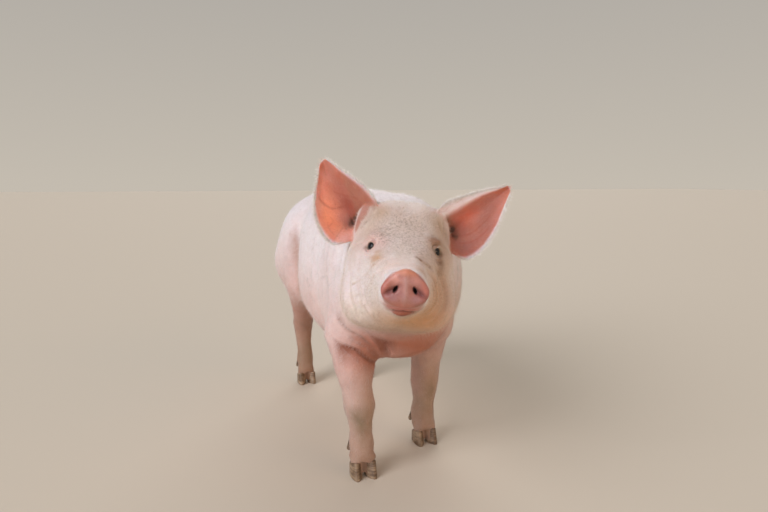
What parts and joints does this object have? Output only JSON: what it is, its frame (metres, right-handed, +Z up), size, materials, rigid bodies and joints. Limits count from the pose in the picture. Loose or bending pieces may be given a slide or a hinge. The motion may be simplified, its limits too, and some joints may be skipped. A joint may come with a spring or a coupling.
{
  "type": "pig figure",
  "caption": "Life-size young white pig standing still, its head lifted and turned to its right, with large upright ears and a curled tail.",
  "frame": {"origin": "on the floor, under the middle of the box round the whole animal", "axes": "+Z up, +Y from the snout towards the tail, +X to the pig's left"},
  "size_m": [0.3814, 1.2216, 0.6801],
  "materials": {
    "skin": "pale pink skin under a thin coat of white bristles",
    "ear": "thin salmon-pink skin, translucent, with a fringe of white hairs",
    "snout": "bare moist pink skin with short sparse hairs",
    "eye": "wet dark eye with a slate-grey iris",
    "horn": "worn tan-brown horn"
  },
  "bodies": {
    "root": {"ear_left": "ear", "ear_right": "ear", "eye_left": "eye", "eye_right": "eye", "foredewclaw_left_inner": "horn", "foredewclaw_left_outer": "horn", "foredewclaw_right_inner": "horn", "foredewclaw_right_outer": "horn", "forehoof_left_inner": "horn", "forehoof_left_outer": "horn", "forehoof_right_inner": "horn", "forehoof_right_outer": "horn", "foreleg_left": "skin", "foreleg_right": "skin", "head": "skin", "hinddewclaw_left_inner": "horn", "hinddewclaw_left_outer": "horn", "hinddewclaw_right_inner": "horn", "hinddewclaw_right_outer": "horn", "hindhoof_left_inner": "horn", "hindhoof_left_outer": "horn", "hindhoof_right_inner": "horn", "hindhoof_right_outer": "horn", "hindleg_left": "skin", "hindleg_right": "skin", "lower_jaw": "skin", "neck": "skin", "snout": "snout", "tail": "skin", "trunk": "skin"}
  },
  "joints": []
}
